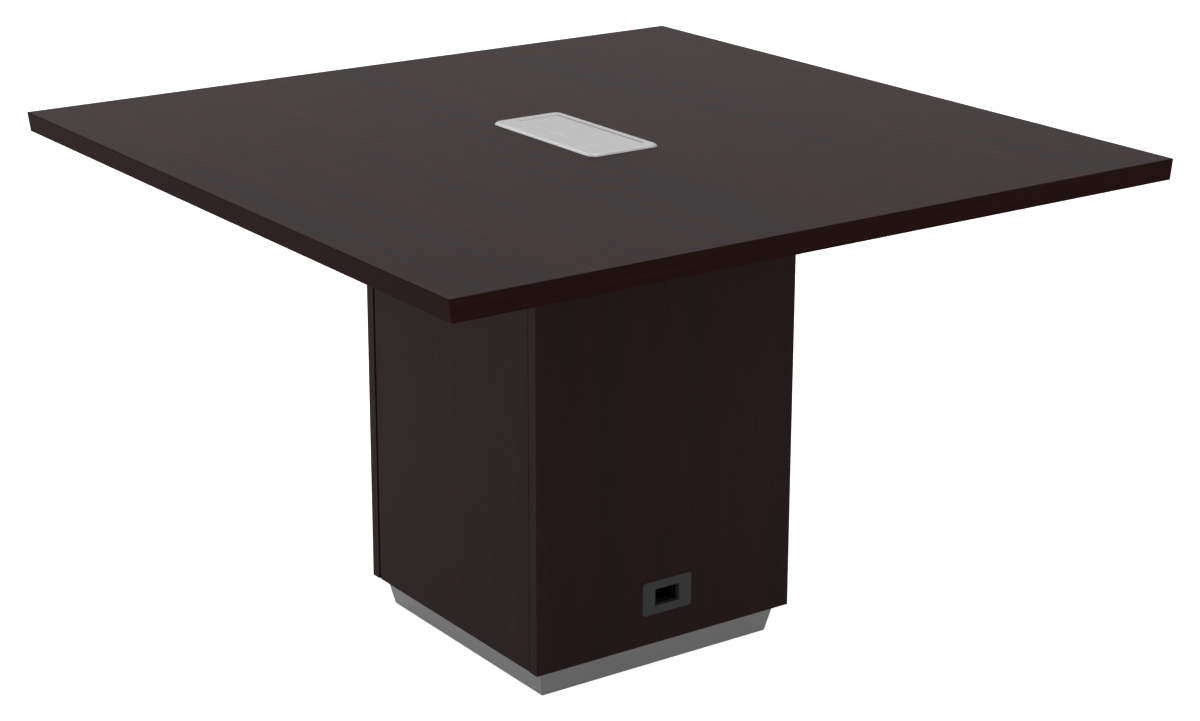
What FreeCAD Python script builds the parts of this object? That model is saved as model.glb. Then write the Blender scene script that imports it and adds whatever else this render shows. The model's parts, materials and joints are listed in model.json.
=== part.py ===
import FreeCAD, Part
import math
import os

# Square meeting table: a laminate top on a hollow square column with a metal plinth.
# A power module with a flip-up lid sits in the top, and a cable port in the column's front.
# Millimetres, +Z up. The origin is the centre of the footprint, on the floor.
# -Y is the front, with the port. -X is the left side, with the access door.
# The wood grain of the top runs along Y, and the grain of the column runs upright.

os.makedirs("parts", exist_ok=True)

V = FreeCAD.Vector
X = V(1, 0, 0)
Y = V(0, 1, 0)
Z = V(0, 0, 1)

# Driving sizes of the whole table
table_height = 762.0
top_side = 1200.0
top_thickness = 30.0
column_side = 456.0
board = 18.0
plinth_height = 45.0
plinth_top_side = 427.0
plinth_floor_side = 408.0

# Clearances that more than one piece shares
slack = 0.1            # a wooden bore round what is pushed into it
running_clearance = 0.05   # radial, a turning or sliding pin in its bore
face_gap = 0.3         # two flat faces that move past each other
overrun = 1.0          # how far a cutting shape goes past the face it cuts

# Levels and planes that the sizes above fix
column_top = table_height - top_thickness
column_half = column_side / 2
inner_half = column_half - board

tiny = 1e-6            # two values closer than this are the same
full_turn = 360.0
right_angle = 90.0
cubic_centimetre = 1000.0

nodes = {}             # node name to its shape
cuts = {}              # board name to the shapes cut out of it


# Helpers

def span(x, y, z):
    """A box from three (low, high) pairs."""
    return Part.makeBox(x[1] - x[0], y[1] - y[0], z[1] - z[0], V(x[0], y[0], z[0]))


def rod(radius, start, end):
    """A round bar from one point to another."""
    along = end - start
    return Part.makeCylinder(radius, along.Length, start, along)


def about(centre, size):
    """The (low, high) pair of a size centred on a value."""
    return (centre - size / 2, centre + size / 2)


def mirrored(pair):
    """The (low, high) pair on the other side of zero."""
    return (-pair[1], -pair[0])


def edges_along(solid, direction):
    """The straight edges of a solid that run along a direction."""
    lines = [e for e in solid.Edges if e.Curve.TypeId == "Part::GeomLine"]
    return [e for e in lines if e.Curve.Direction.cross(direction).Length < tiny]


def edges_at(solid, direction, level):
    """The edges of a solid that lie in one plane square to a direction."""
    return [e for e in solid.Edges if abs(e.CenterOfMass.dot(direction) - level) < tiny]


def rounded(solid, corner, direction):
    """A solid with its edges along one direction rounded."""
    return solid.makeFillet(corner, edges_along(solid, direction))


def prism(outline, along):
    """A solid swept straight from a closed list of points."""
    return Part.Face(Part.makePolygon(outline + outline[:1])).extrude(along)


def turned(profile, foot, axis):
    """A solid of revolution from (radius, height) pairs, standing at foot along axis."""
    outline = [V(r, 0, h) for r, h in profile]
    ring = Part.Face(Part.makePolygon(outline + outline[:1])).revolve(V(0, 0, 0), Z, full_turn)
    ring.Placement = FreeCAD.Placement(foot, FreeCAD.Rotation(Z, axis))
    return ring


def placed(shape, origin, x_axis, z_axis):
    """A copy moved from the standard axes to an origin with its own X and Z."""
    rotation = FreeCAD.Rotation(x_axis, z_axis.cross(x_axis), z_axis, "ZXY")
    copy = shape.copy()
    copy.Placement = FreeCAD.Placement(origin, rotation).multiply(copy.Placement)
    return copy


def cut_from(board_name, shape):
    """Notes a hole to be cut out of a board once all its holes are known."""
    cuts.setdefault(board_name, []).append(shape)


def group(solids):
    """Like pieces that share one node, each still its own solid."""
    return Part.makeCompound(solids)


# Table top: a particleboard core with a plastic band on each edge
# The two bands along the grain lean in towards the bottom, the other two are plumb

band_thickness = 2.0
band_rounding = 1.0
long_edge_lean = 4.0

top_half = top_side / 2
core_half = top_half - band_thickness


def edge_section(outer, inner, y):
    """A slice across the top between two distances from the middle, leaning with its edge."""
    lean = long_edge_lean
    return [V(outer, y, table_height), V(inner, y, table_height),
            V(inner - math.copysign(lean, inner), y, column_top),
            V(outer - math.copysign(lean, outer), y, column_top)]


def outer_arris(edge):
    """Whether an edge of a band is on the top's upper rim or on one of its upright corners."""
    middle = edge.CenterOfMass
    lean = long_edge_lean * (table_height - middle.z) / top_thickness
    off_faces = (middle.z - table_height, abs(middle.y) - top_half, abs(middle.x) - (top_half - lean))
    return sum(abs(distance) < tiny for distance in off_faces) > 1


def table_top():
    nodes["top_panel"] = prism(edge_section(-core_half, core_half, -core_half), Y * (2 * core_half))
    long_band = Y * top_side
    short_band = Y * band_thickness
    bands = {
        "edge_band_left": prism(edge_section(-top_half, -core_half, -top_half), long_band),
        "edge_band_right": prism(edge_section(core_half, top_half, -top_half), long_band),
        "edge_band_front": prism(edge_section(-core_half, core_half, -top_half), short_band),
        "edge_band_back": prism(edge_section(-core_half, core_half, core_half), short_band),
    }
    for name, band in bands.items():
        nodes[name] = band.makeFillet(band_rounding, [e for e in band.Edges if outer_arris(e)])


# Column: front and back boards run full width, the closed side and the door fit between them
# A bottom panel and two flat rails under the top tie them together

board_lip = 1.0          # how far the front and back boards stand out past the faces beside them
board_rounding = 0.8     # the outer upright edges of the front and back boards
door_backset = 8.0       # from the door's back to the rails and the bottom panel
rail_width = 80.0

frame_front = door_backset - inner_half
door_rail_x = (frame_front, frame_front + rail_width)
closed_rail_x = (inner_half - rail_width, inner_half)
rail_z = (column_top - board, column_top)
floor_z = (plinth_height, plinth_height + board)
full_height = (plinth_height, column_top)


def column_boards():
    inside = (-inner_half, inner_half)
    across = about(0, 2 * (column_half + board_lip))
    shell = (inner_half, column_half)
    for name, y in (("front_panel", mirrored(shell)), ("back_panel", shell)):
        panel = span(across, y, full_height)
        outer = [e for e in edges_along(panel, Z) if abs(e.CenterOfMass.y) > inner_half + tiny]
        nodes[name] = panel.makeFillet(board_rounding, outer)
    nodes["closed_side_panel"] = span(shell, inside, full_height)
    nodes["bottom_panel"] = span((frame_front, inner_half), inside, floor_z)
    nodes["door_side_rail"] = span(door_rail_x, inside, rail_z)
    nodes["closed_side_rail"] = span(closed_rail_x, inside, rail_z)


# Knock-down joints: a cam lock in one board pulls a bolt that is screwed into the next,
# and a beech dowel beside it keeps the two in line

cam_radius = 7.5
cam_depth = 13.5
cam_setback = 24.0       # from the joint to the cam's centre
cam_slot_width = 1.5
cam_slot_length = 10.0
cam_slot_depth = 2.5
cam_bolt_radius = 3.0
cam_bolt_grip = 11.0
cam_neck_radius = 2.0
cam_neck_length = 4.0
cam_head_length = 3.0
dowel_radius = 4.0
dowel_in_panel = 12.0
dowel_in_board = 18.0
dowel_spacing = 32.0     # from a cam to the dowel beside it
bottom_joint_spot = 80.0
side_joint_edge = 90.0   # from a side joint to the end of the board

cam_locks = []
cam_bolts = []
dowels = []


def cam_piece():
    """The cam, at the joint's own origin: +X into the panel, +Z out of the bored face."""
    foot = board / 2 - cam_depth
    disc = Part.makeCylinder(cam_radius, cam_depth, V(-cam_setback, 0, foot))
    mouth = rod(cam_bolt_radius + slack, V(-cam_setback, 0, 0), V(0, 0, 0))
    slot_z = (board / 2 - cam_slot_depth, board / 2 + overrun)
    slot = span(about(-cam_setback, cam_slot_length), about(0, cam_slot_width), slot_z)
    cross = span(about(-cam_setback, cam_slot_width), about(0, cam_slot_length), slot_z)
    return disc.cut([mouth, slot, cross])


def cam_bolt():
    """The bolt: a thread in the panel, then a neck and a head that the cam hooks."""
    head = cam_setback - cam_bolt_radius
    neck = head - cam_head_length
    shank = neck - cam_neck_length
    profile = [(0, -head), (cam_bolt_radius, -head), (cam_bolt_radius, -neck), (cam_neck_radius, -neck),
               (cam_neck_radius, -shank), (cam_bolt_radius, -shank), (cam_bolt_radius, cam_bolt_grip),
               (0, cam_bolt_grip)]
    return turned(profile, V(0, 0, 0), X)


def joint(carrier, panel, spot, into, bored, along):
    """One cam lock and one dowel between a board and the panel that it meets."""
    pocket = Part.makeCylinder(cam_radius + slack, cam_depth + slack + overrun,
                               V(-cam_setback, 0, board / 2 - cam_depth - slack))
    tunnel = rod(cam_bolt_radius + slack, V(-cam_setback, 0, 0), V(cam_bolt_grip + slack, 0, 0))
    cut_from(carrier, placed(pocket, spot, into, bored))
    for name in (carrier, panel):
        cut_from(name, placed(tunnel, spot, into, bored))
    cam_locks.append(placed(cam_piece(), spot, into, bored))
    cam_bolts.append(placed(cam_bolt(), spot, into, bored))
    peg = spot + along * dowel_spacing
    dowels.append(rod(dowel_radius, peg - into * dowel_in_board, peg + into * dowel_in_panel))
    hole = rod(dowel_radius + slack, peg - into * (dowel_in_board + slack),
               peg + into * (dowel_in_panel + slack))
    for name in (carrier, panel):
        cut_from(name, hole)


def column_joints():
    rail_middle = column_top - board / 2
    floor_middle = plinth_height + board / 2
    side_middle = inner_half + board / 2
    for end, panel in ((-1, "front_panel"), (1, "back_panel")):
        into = Y * end
        for rail, x in (("door_side_rail", door_rail_x), ("closed_side_rail", closed_rail_x)):
            spot = V((x[0] + x[1] - dowel_spacing) / 2, end * inner_half, rail_middle)
            joint(rail, panel, spot, into, -Z, X)
        for side in (-1, 1):
            spot = V(side * bottom_joint_spot, end * inner_half, floor_middle)
            joint("bottom_panel", panel, spot, into, -Z, X * -side)
        for height in (plinth_height + side_joint_edge, column_top - side_joint_edge):
            spot = V(side_middle, end * inner_half, height)
            inward = Z if height < table_height / 2 else -Z
            joint("closed_side_panel", panel, spot, into, -X, inward)
    for side in (-1, 1):
        spot = V(inner_half, side * bottom_joint_spot, floor_middle)
        joint("bottom_panel", "closed_side_panel", spot, X, -Z, Y * -side)
    nodes["cam_locks"] = group(cam_locks)
    nodes["cam_bolts"] = group(cam_bolts)
    nodes["wood_dowels"] = group(dowels)


# Top fixings: machine bolts go up through the rails into brass inserts in the top

bolt_radius = 3.0
bolt_hole_radius = 3.5
bolt_head_radius = 6.0
bolt_head_height = 3.5
bolt_head_chamfer = 0.8
bolt_socket_radius = 2.0
bolt_socket_depth = 2.0
bolt_engagement = 11.0
bolt_spacing = 100.0
bolts_per_rail = 4
insert_radius = 5.0
insert_length = 13.0
insert_collar_radius = 6.0
insert_collar = 1.5


def rail_bolt(foot):
    """A low-head bolt standing on the underside of a rail, with its hex socket below."""
    reach = board + bolt_engagement
    bottom = -bolt_head_height
    socket_top = bottom + bolt_socket_depth
    profile = [(0, socket_top), (bolt_socket_radius, socket_top), (bolt_socket_radius, bottom),
               (bolt_head_radius - bolt_head_chamfer, bottom), (bolt_head_radius, bottom + bolt_head_chamfer),
               (bolt_head_radius, 0), (bolt_radius, 0), (bolt_radius, reach), (0, reach)]
    return turned(profile, foot, Z)


def top_insert(foot):
    """A collared brass sleeve, flush with the underside of the top."""
    bore = bolt_radius + running_clearance
    profile = [(bore, 0), (insert_collar_radius, 0), (insert_collar_radius, insert_collar),
               (insert_radius, insert_collar), (insert_radius, insert_length), (bore, insert_length)]
    return turned(profile, foot, Z)


def top_fixings():
    bolts = []
    inserts = []
    for rail, x in (("door_side_rail", door_rail_x), ("closed_side_rail", closed_rail_x)):
        for i in range(bolts_per_rail):
            y = (i - (bolts_per_rail - 1) / 2) * bolt_spacing
            middle = (x[0] + x[1]) / 2
            bolts.append(rail_bolt(V(middle, y, column_top - board)))
            inserts.append(top_insert(V(middle, y, column_top)))
            cut_from(rail, rod(bolt_hole_radius, V(middle, y, rail_z[0] - overrun),
                               V(middle, y, rail_z[1] + overrun)))
            below = V(middle, y, column_top - overrun)
            cut_from("top_panel", rod(insert_collar_radius, below, V(middle, y, column_top + insert_collar)))
            cut_from("top_panel", rod(insert_radius, below, V(middle, y, column_top + insert_length)))
    nodes["top_bolts"] = group(bolts)
    nodes["top_inserts"] = group(inserts)


# Small countersunk wood screws, the same for every piece of hardware

screw_head_radius = 3.5
screw_radius = 1.75
screw_head_height = 2.0
screw_length = 14.0
screw_tip = 3.0
screw_slot_width = 0.8
screw_slot_depth = 0.8

wood_screws = []


def wood_screw(head_centre, inward, into_boards):
    """Drives one screw with its head flush at a point, through the named boards."""
    profile = [(0, 0), (screw_head_radius, 0), (screw_radius, screw_head_height),
               (screw_radius, screw_length - screw_tip), (0, screw_length)]
    body = turned(profile, head_centre, inward)
    slot = span(about(0, 2 * screw_head_radius), about(0, screw_slot_width),
                (-screw_slot_depth, screw_slot_depth))
    slot.Placement = FreeCAD.Placement(head_centre, FreeCAD.Rotation(Z, inward))
    for name in into_boards:
        cut_from(name, body)
    wood_screws.append(body.cut(slot))
    return body


# Access door: an inset board on two pivot hinges, with a narrow gap at the hinge edge
# and a wide one at the latch edge, where the fingers find it

hinge_gap = 2.0
latch_gap = 2.2
door_head_gap = 3.0
door_rounding = 1.5
pivot_depth = 7.0        # from the door's outer face to the pivot's axis
pivot_inset = 12.0       # from the door's hinge edge to the pivot's axis
pin_radius = 2.0
pin_reach = 11.0
bush_radius = 4.0
bush_length = 12.0
leaf_width = 8.0
leaf_thickness = 2.5
leaf_hold = 36.0         # how far a leaf reaches under its board
leaf_screw_edge = 7.0
leaf_screw_spacing = 18.0
notch_clearance = 0.5
strike_radius = 9.0
strike_thickness = 1.5
stop_width = 12.0
stop_clearance = 3.0     # the door can be pushed in this far to free the latch
latch_inset = 106.0      # from the latch edge to the latch's axis

hinge_edge = hinge_gap - inner_half
latch_edge = inner_half - latch_gap
door_top = column_top - door_head_gap
pivot_x = pivot_depth - column_half
pivot_y = hinge_edge + pivot_inset
notch_top = plinth_height + leaf_thickness + notch_clearance
latch_y = latch_edge - latch_inset


def pivot_leaf(z, screw_z, screw_direction, board_name):
    """A flat steel leaf with a round nose, let flush into the board that holds it."""
    tail = frame_front + leaf_hold
    nose = Part.makeCylinder(leaf_width / 2, leaf_thickness, V(pivot_x, pivot_y, z[0]))
    leaf = nose.fuse(span((pivot_x, tail), about(pivot_y, leaf_width), z)).removeSplitter()
    cut_from(board_name, span((frame_front - overrun, tail), about(pivot_y, leaf_width), z))
    leaf = leaf.cut(rod(pin_radius, V(pivot_x, pivot_y, z[0]), V(pivot_x, pivot_y, z[1])))
    for i in range(2):
        head = V(tail - leaf_screw_edge - i * leaf_screw_spacing, pivot_y, screw_z)
        leaf = leaf.cut(wood_screw(head, screw_direction, [board_name]))
    return leaf


def door_bush(foot):
    bore = pin_radius + running_clearance
    profile = [(bore, 0), (bush_radius, 0), (bush_radius, bush_length), (bore, bush_length)]
    return turned(profile, foot, Z)


def access_door():
    door = span((-column_half, -inner_half), (hinge_edge, latch_edge), (plinth_height, door_top))
    outer = [e for e in edges_along(door, Z) if e.CenterOfMass.x < -inner_half - tiny]
    door = door.makeFillet(door_rounding, outer)

    # The lower leaf lies under the door, so the door's foot is notched round its whole swing
    reach = leaf_width / 2 + notch_clearance
    notch = span((pivot_x - reach, overrun - inner_half), (hinge_edge - overrun, pivot_y + reach),
                 (plinth_height - overrun, notch_top))
    low_bore = rod(bush_radius, V(pivot_x, pivot_y, notch_top - overrun),
                   V(pivot_x, pivot_y, notch_top + bush_length))
    high_bore = rod(bush_radius, V(pivot_x, pivot_y, door_top - bush_length),
                    V(pivot_x, pivot_y, door_top + overrun))
    strike_face = V(-inner_half, latch_y, latch_z)
    strike = rod(strike_radius, strike_face - X * strike_thickness, strike_face)
    nodes["access_door"] = door.cut([notch, low_bore, high_bore, strike])
    nodes["door_strike_plate"] = strike
    nodes["door_bushes"] = group([door_bush(V(pivot_x, pivot_y, notch_top)),
                                  door_bush(V(pivot_x, pivot_y, door_top - bush_length))])

    low_z = (plinth_height, plinth_height + leaf_thickness)
    high_z = (column_top - leaf_thickness, column_top)
    nodes["pivot_leaves"] = group([pivot_leaf(low_z, low_z[0], Z, "bottom_panel"),
                                   pivot_leaf(high_z, high_z[1], -Z, "door_side_rail")])
    nodes["pivot_pins"] = group([
        rod(pin_radius, V(pivot_x, pivot_y, low_z[0]), V(pivot_x, pivot_y, notch_top + pin_reach)),
        rod(pin_radius, V(pivot_x, pivot_y, high_z[1]), V(pivot_x, pivot_y, door_top - pin_reach))])

    # A strip behind the latch edge stops the door and closes the wide gap to the eye
    behind = stop_clearance - inner_half
    nodes["door_stop_strip"] = span((behind, behind + stop_width), (inner_half - stop_width, inner_half),
                                    (floor_z[1], rail_z[0]))


# Push latch: a housing under the door-side rail with a sprung plunger on the door's strike

latch_length = 56.0
latch_width = 18.0
latch_height = 17.0
latch_front_gap = 3.0    # from the rail's front edge to the housing
latch_ear = 9.0
latch_ear_thickness = 3.0
latch_ear_length = 24.0
latch_rounding = 2.0
plunger_radius = 4.0
plunger_length = 40.0
plunger_travel = 4.0
plunger_tip = 1.0
spring_room = 6.0        # behind the plunger when it is pushed right in

latch_z = rail_z[0] - latch_height / 2
latch_front = frame_front + latch_front_gap


def push_latch():
    tip = face_gap - inner_half
    tail = tip + plunger_length
    body = rounded(span((latch_front, latch_front + latch_length), about(latch_y, latch_width),
                        about(latch_z, latch_height)), latch_rounding, X)
    ears = span(about(latch_front + latch_length / 2, latch_ear_length),
                about(latch_y, latch_width + 2 * latch_ear),
                (rail_z[0] - latch_ear_thickness, rail_z[0]))
    bore = rod(plunger_radius + running_clearance, V(latch_front - overrun, latch_y, latch_z),
               V(tail + plunger_travel + spring_room, latch_y, latch_z))
    body = body.fuse(ears).removeSplitter().cut(bore)
    for side in (-1, 1):
        head = V(latch_front + latch_length / 2, latch_y + side * (latch_width + latch_ear) / 2,
                 rail_z[0] - latch_ear_thickness)
        body = body.cut(wood_screw(head, Z, ["door_side_rail"]))
    nodes["push_latch_body"] = body
    profile = [(0, 0), (plunger_radius - plunger_tip, 0), (plunger_radius, plunger_tip),
               (plunger_radius, plunger_length), (0, plunger_length)]
    nodes["push_latch_plunger"] = turned(profile, V(tip, latch_y, latch_z), X)


# Cable port in the front panel: a moulded bezel with a collar and two screw bosses,
# and a ring behind the panel that two screws pull against it

port_height = 117.0      # from the floor to the port's middle
port_width = 88.5
port_depth = 52.0
port_corner = 6.0
port_proud = 1.5
port_edge_rounding = 0.8
port_hole_width = 43.5
port_hole_height = 26.0
port_wall = 2.5
collar_reach = 7.0       # how far the collar and the bosses go into the panel
port_boss_radius = 3.0
ring_margin = 12.0
ring_thickness = 3.0
port_screw_radius = 1.5
port_screw_head_radius = 3.0
port_screw_head = 1.5
port_screw_bite = 5.0    # how far a port screw bites into its boss

front_face = -column_half
front_inside = -inner_half


def port_rectangle(width, height, y):
    return span(about(0, width), y, about(port_height, height))


def cable_port():
    outer_face = front_face - port_proud
    plate = rounded(port_rectangle(port_width, port_depth, (outer_face, front_face)), port_corner, Y)
    plate = plate.makeFillet(port_edge_rounding, edges_at(plate, Y, outer_face))
    collar_width = port_hole_width + 2 * port_wall
    collar_height = port_hole_height + 2 * port_wall
    collar = port_rectangle(collar_width, collar_height, (front_face - tiny, front_face + collar_reach))
    hole = port_rectangle(port_hole_width, port_hole_height, (outer_face - overrun, front_inside))
    cut_from("front_panel", port_rectangle(collar_width + 2 * slack, collar_height + 2 * slack,
                                           (front_face - overrun, front_inside + overrun)))
    ring_y = (front_inside, front_inside + ring_thickness)
    ring = rounded(port_rectangle(collar_width + 2 * ring_margin, collar_height + 2 * ring_margin, ring_y),
                   port_corner, Y)
    ring = ring.cut(port_rectangle(collar_width, collar_height, (ring_y[0] - overrun, ring_y[1] + overrun)))
    bezel = plate.fuse(collar).removeSplitter().cut(hole)
    screws = []
    boss_end = front_face + collar_reach
    tip = port_screw_head + ring_y[1] - boss_end + port_screw_bite
    for side in (-1, 1):
        x = side * (collar_width + ring_margin) / 2
        head = V(x, ring_y[1], port_height)
        bezel = bezel.fuse(rod(port_boss_radius, V(x, front_face, port_height), V(x, boss_end, port_height)))
        cut_from("front_panel", rod(port_boss_radius + slack, V(x, front_face - overrun, port_height),
                                    V(x, boss_end + slack, port_height)))
        profile = [(0, 0), (port_screw_head_radius, 0), (port_screw_head_radius, port_screw_head),
                   (port_screw_radius, port_screw_head), (port_screw_radius, tip), (0, tip)]
        screw = turned(profile, head + Y * port_screw_head, -Y)
        screws.append(screw)
        cut_from("front_panel", screw)
        ring = ring.cut(screw)
        bezel = bezel.cut(screw)
    nodes["port_bezel"] = bezel.removeSplitter()
    nodes["port_back_ring"] = ring
    nodes["port_screws"] = group(screws)


# Plinth: four mitred metal faces that taper in to the floor, on mitred wooden rails

skin = 1.5
plinth_rail_thickness = 18.0
mitre_gap = 0.2

plinth_sides = ("front", "right", "back", "left")


def square_frustum(top_side_length, floor_side_length):
    """A four-sided tapered block as tall as the plinth."""
    rings = []
    for side, z in ((floor_side_length, 0), (top_side_length, plinth_height)):
        h = side / 2
        rings.append(Part.makePolygon([V(-h, -h, z), V(h, -h, z), V(h, h, z), V(-h, h, z), V(-h, -h, z)]))
    return Part.makeLoft(rings, True, True)


def quarter(side_name):
    """The wedge of the plinth that belongs to one side, up to its mitres."""
    reach = column_side
    start = mitre_gap
    outline = [V(0, -start, -overrun), V(reach, -start - reach, -overrun),
               V(-reach, -start - reach, -overrun)]
    wedge = prism(outline, Z * (plinth_height + 2 * overrun))
    return wedge.rotate(V(0, 0, 0), Z, plinth_sides.index(side_name) * right_angle)


def plinth():
    outer = square_frustum(plinth_top_side, plinth_floor_side)
    inner = square_frustum(plinth_top_side - 2 * skin, plinth_floor_side - 2 * skin)
    hollow_half = plinth_floor_side / 2 - skin - plinth_rail_thickness
    hollow = (-hollow_half, hollow_half)
    faces = outer.cut(inner)
    rails = inner.cut(span(hollow, hollow, (-overrun, plinth_height + overrun)))
    for side_name in plinth_sides:
        nodes["plinth_face_" + side_name] = faces.common(quarter(side_name))
        nodes["plinth_rail_" + side_name] = rails.common(quarter(side_name))
    return hollow_half


# Corner blocks inside the plinth, each with two long screws and a threaded levelling foot

block_side = 56.0
block_foot = 13.0        # from the floor to the underside of a block
long_screw_radius = 2.25
long_screw_head_radius = 4.5
long_screw_head = 3.0
long_screw_bite = 13.0
long_screw_offset = 17.0
nut_barrel_radius = 5.0
nut_barrel_length = 12.0
nut_flange_radius = 9.5
nut_flange = 1.5
stem_radius = 4.0
stem_top_gap = 1.0
collar_sides = 6
collar_flats = 13.0      # across the hexagon's flats
collar_gap = 0.3
pad_radius = 16.0
pad_rim = 2.5
pad_height = 8.0
pad_crown_radius = 9.0
pad_web = 3.0            # plastic under the stem


def long_screw(foot):
    tip = foot.z + (plinth_height - foot.z) + long_screw_bite
    reach = tip - foot.z
    profile = [(0, 0), (long_screw_head_radius, 0), (long_screw_radius, long_screw_head),
               (long_screw_radius, reach - long_screw_head), (0, reach)]
    return turned(profile, foot, Z)


def spanner_collar(x, y, z):
    """The hexagon on a foot's stem that a spanner turns, between two heights."""
    radius = collar_flats / 2 / math.cos(math.pi / collar_sides)
    corners = []
    for i in range(collar_sides):
        angle = math.radians(full_turn * i / collar_sides)
        corners.append(V(x + radius * math.cos(angle), y + radius * math.sin(angle), z[0]))
    return prism(corners, Z * (z[1] - z[0]))


def levelling_foot(number, x, y):
    """A threaded stem that turns in its nut, on a pad that only moves up and down."""
    seat = V(x, y, 0)
    socket = stem_radius + running_clearance
    pad = [(0, 0), (pad_radius, 0), (pad_radius, pad_rim), (pad_crown_radius, pad_height),
           (socket, pad_height), (socket, pad_web), (0, pad_web)]
    nodes[f"foot_pad_{number}"] = turned(pad, seat, Z)
    flange_foot = block_foot - nut_flange
    collar = spanner_collar(x, y, (pad_height + collar_gap, flange_foot - collar_gap))
    stem = rod(stem_radius, seat + Z * (pad_web + collar_gap), seat + Z * (plinth_height - stem_top_gap))
    nodes[f"foot_stem_{number}"] = stem.fuse(collar).removeSplitter()
    bore = stem_radius + running_clearance
    barrel_top = block_foot + nut_barrel_length
    nut = [(bore, flange_foot), (nut_flange_radius, flange_foot), (nut_flange_radius, block_foot),
           (nut_barrel_radius, block_foot), (nut_barrel_radius, barrel_top), (bore, barrel_top)]
    return turned(nut, seat, Z)


def corner_blocks(hollow_half):
    blocks = []
    screws = []
    nuts = []
    middle = hollow_half - block_side / 2
    corners = ((-1, -1), (1, -1), (1, 1), (-1, 1))
    for number, (sx, sy) in enumerate(corners, start=1):
        x = sx * middle
        y = sy * middle
        block = span(about(x, block_side), about(y, block_side), (block_foot, plinth_height))
        block = block.cut(rod(nut_barrel_radius, V(x, y, 0), V(x, y, plinth_height + overrun)))
        for turn in (-1, 1):
            foot = V(x + turn * sx * long_screw_offset, y - turn * sy * long_screw_offset, block_foot)
            screw = long_screw(foot)
            screws.append(screw)
            block = block.cut(screw)
            cut_from("bottom_panel", screw)
        blocks.append(block)
        nuts.append(levelling_foot(number, x, y))
    nodes["plinth_corner_blocks"] = group(blocks)
    nodes["plinth_screws"] = group(screws)
    nodes["foot_nuts"] = group(nuts)


# Power module: a cast bezel with a lid over a steel well, clamped under the top
# The lid's pins lie well inside its hinge edge, so a press on that edge tips the lid up

module_x = -5.5
bezel_width = 121.0
bezel_length = 260.0
bezel_corner = 14.0
bezel_proud = 4.0        # the plate's thickness, which lies on the table's face
bezel_rounding = 8.0     # the arc of the plate's rim, which is larger than the plate is thick
bezel_overlap = 8.0      # how much of the table the bezel covers
cutout_clearance = 1.0
skirt_wall = 2.0
skirt_depth = 16.0
bezel_left_strip = 35.0  # plate between the bezel's left edge and the lid
bezel_right_strip = 18.0
bezel_front_strip = 20.0
bezel_back_strip = 24.0
lid_thickness = 2.5
lid_corner = 3.0
lid_rounding = 1.2
lid_gap = 0.8
lid_hinge_gap = 1.6
lid_pin_depth = 5.0      # from the lid's face to its pins' axis
lid_pin_inset = 10.0     # from the lid's hinge edge to its pins' axis
lid_pin_radius = 2.0
ear_thickness = 4.0
ear_radius = 4.2
ear_inset = 3.0          # from the lid's end to its ear
boss_thickness = 4.0
boss_gap = 0.5
rib_depth = 3.0
rib_width = 2.0
rib_inset = 12.0

bezel_top = table_height + bezel_proud
module_y = 0.0
lid_x = (module_x - bezel_width / 2 + bezel_left_strip, module_x + bezel_width / 2 - bezel_right_strip)
lid_y = (module_y - bezel_length / 2 + bezel_front_strip, module_y + bezel_length / 2 - bezel_back_strip)
lid_axis = V(lid_x[1] - lid_pin_inset, 0, bezel_top - lid_pin_depth)
cutout_x = about(module_x, bezel_width - 2 * bezel_overlap)
cutout_y = about(module_y, bezel_length - 2 * bezel_overlap)


def inset(pair, amount):
    """A (low, high) pair drawn in by an amount at both ends."""
    return (pair[0] + amount, pair[1] - amount)


def module_bezel():
    x = about(module_x, bezel_width)
    y = about(module_y, bezel_length)
    # The rim's arc is cut off by the table's face, where it still leans in
    swell = bezel_rounding - math.sqrt(bezel_rounding ** 2 - (bezel_rounding - bezel_proud) ** 2)
    whole = rounded(span(inset(x, -swell), inset(y, -swell), (bezel_top - 2 * bezel_rounding, bezel_top)),
                    bezel_corner + swell, Z)
    whole = whole.makeFillet(bezel_rounding, edges_at(whole, Z, bezel_top))
    plate = whole.common(span(inset(x, -swell), inset(y, -swell), (table_height, bezel_top)))
    plate_middle = (table_height + bezel_top) / 2
    skirt_x = inset(cutout_x, cutout_clearance)
    skirt_y = inset(cutout_y, cutout_clearance)
    skirt_foot = table_height - skirt_depth
    skirt = span(skirt_x, skirt_y, (skirt_foot, plate_middle))
    room_x = inset(skirt_x, skirt_wall)
    room_y = inset(skirt_y, skirt_wall)
    bezel = plate.fuse(skirt).cut(span(room_x, room_y, (skirt_foot - overrun, table_height)))

    # The opening for the lid, wider at the hinge side where the lid's edge swings down
    opening = rounded(span((lid_x[0] - lid_gap, lid_x[1] + lid_hinge_gap), inset(lid_y, -lid_gap),
                           (skirt_foot, bezel_top + overrun)), lid_corner, Z)
    bezel = bezel.cut(opening)

    # Two bosses beyond the ends of the opening carry the lid's pins
    pins = []
    for end, rim in zip((-1, 1), lid_y):
        near = rim + end * (lid_gap + boss_gap)
        far = near + end * boss_thickness
        boss_y = (min(near, far), max(near, far))
        boss = span(about(lid_axis.x, 2 * ear_radius), boss_y, (lid_axis.z - ear_radius, plate_middle))
        inner = rim - end * (ear_inset + ear_thickness)
        pin = rod(lid_pin_radius, V(lid_axis.x, inner, lid_axis.z), V(lid_axis.x, far, lid_axis.z))
        pins.append(pin)
        bezel = bezel.fuse(boss).cut(pin)
    nodes["module_bezel"] = bezel.removeSplitter()
    nodes["lid_pins"] = group(pins)
    cut_from("top_panel", span(cutout_x, cutout_y, (column_top - overrun, table_height + overrun)))
    return room_x, room_y, skirt_foot


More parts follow.
